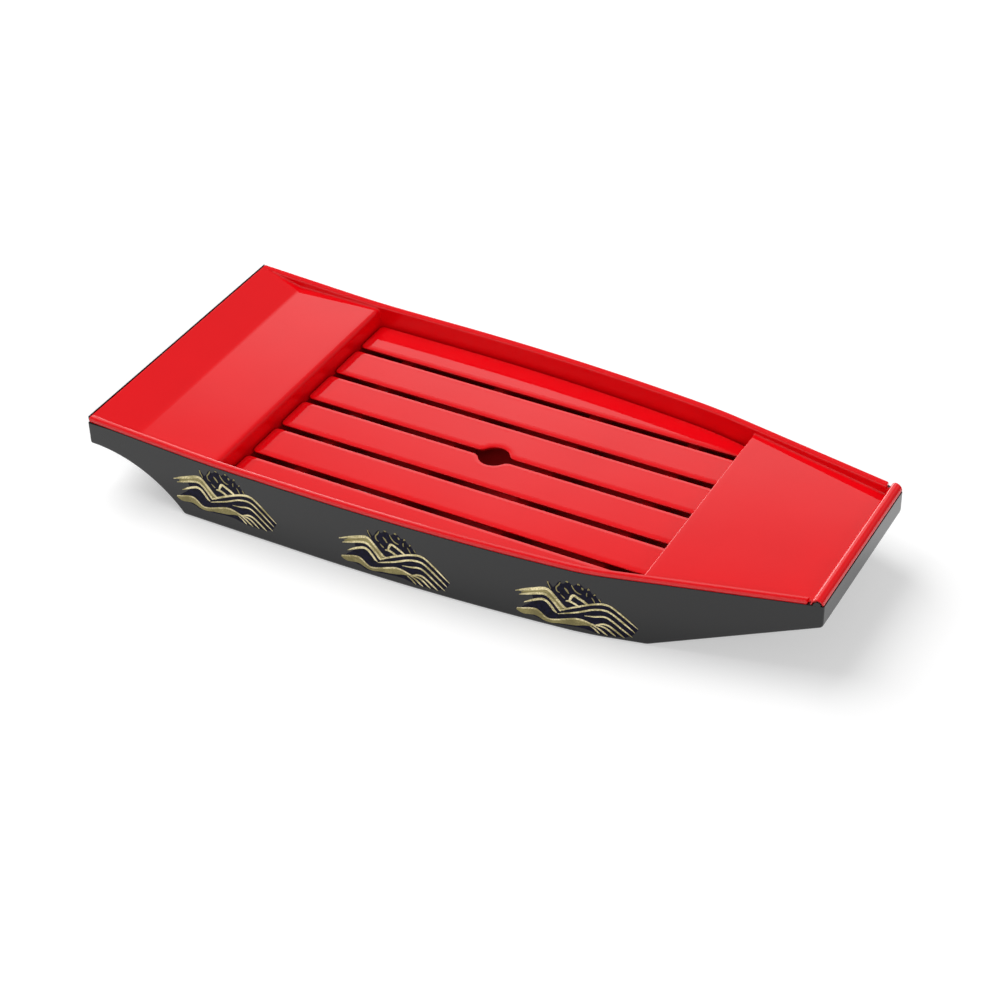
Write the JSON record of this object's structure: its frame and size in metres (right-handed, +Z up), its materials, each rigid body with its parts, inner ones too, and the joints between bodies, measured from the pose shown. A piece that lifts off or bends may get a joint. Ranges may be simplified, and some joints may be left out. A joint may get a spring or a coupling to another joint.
{
  "type": "sushi boat",
  "caption": "Lacquered serving boat: a flat-bottomed black hull lined with a red tray, decks at stern and bow, and a lift-out slatted drain grate in the well between them.",
  "frame": {"origin": "middle of the box's underside: on the table, under mid-length and on the centre plane", "axes": "+X towards the narrow bow, +Y to port, +Z up"},
  "size_m": [0.315, 0.135, 0.035],
  "materials": {
    "black_lacquer": "gloss black lacquer on moulded plastic",
    "red_lacquer": "mirror-gloss red lacquer on moulded plastic",
    "gold_print": "gold printed line work under clear lacquer",
    "navy_print": "navy printed fill under clear lacquer"
  },
  "bodies": {
    "hull": {"outer_hull": "black_lacquer", "inner_tray": "red_lacquer"},
    "grate": {"grate_slat_1": "red_lacquer", "grate_slat_2": "red_lacquer", "grate_slat_3": "red_lacquer", "grate_slat_4": "red_lacquer", "grate_slat_5": "red_lacquer", "grate_slat_6": "red_lacquer", "grate_batten_1": "red_lacquer", "grate_batten_2": "red_lacquer", "grate_batten_3": "red_lacquer", "grate_batten_4": "red_lacquer"}
  },
  "joints": [
    {"name": "grate_lift", "type": "slide", "parent": "hull", "child": "grate", "axis": [0, 0, 1], "range_m": [0, 0.045]}
  ]
}
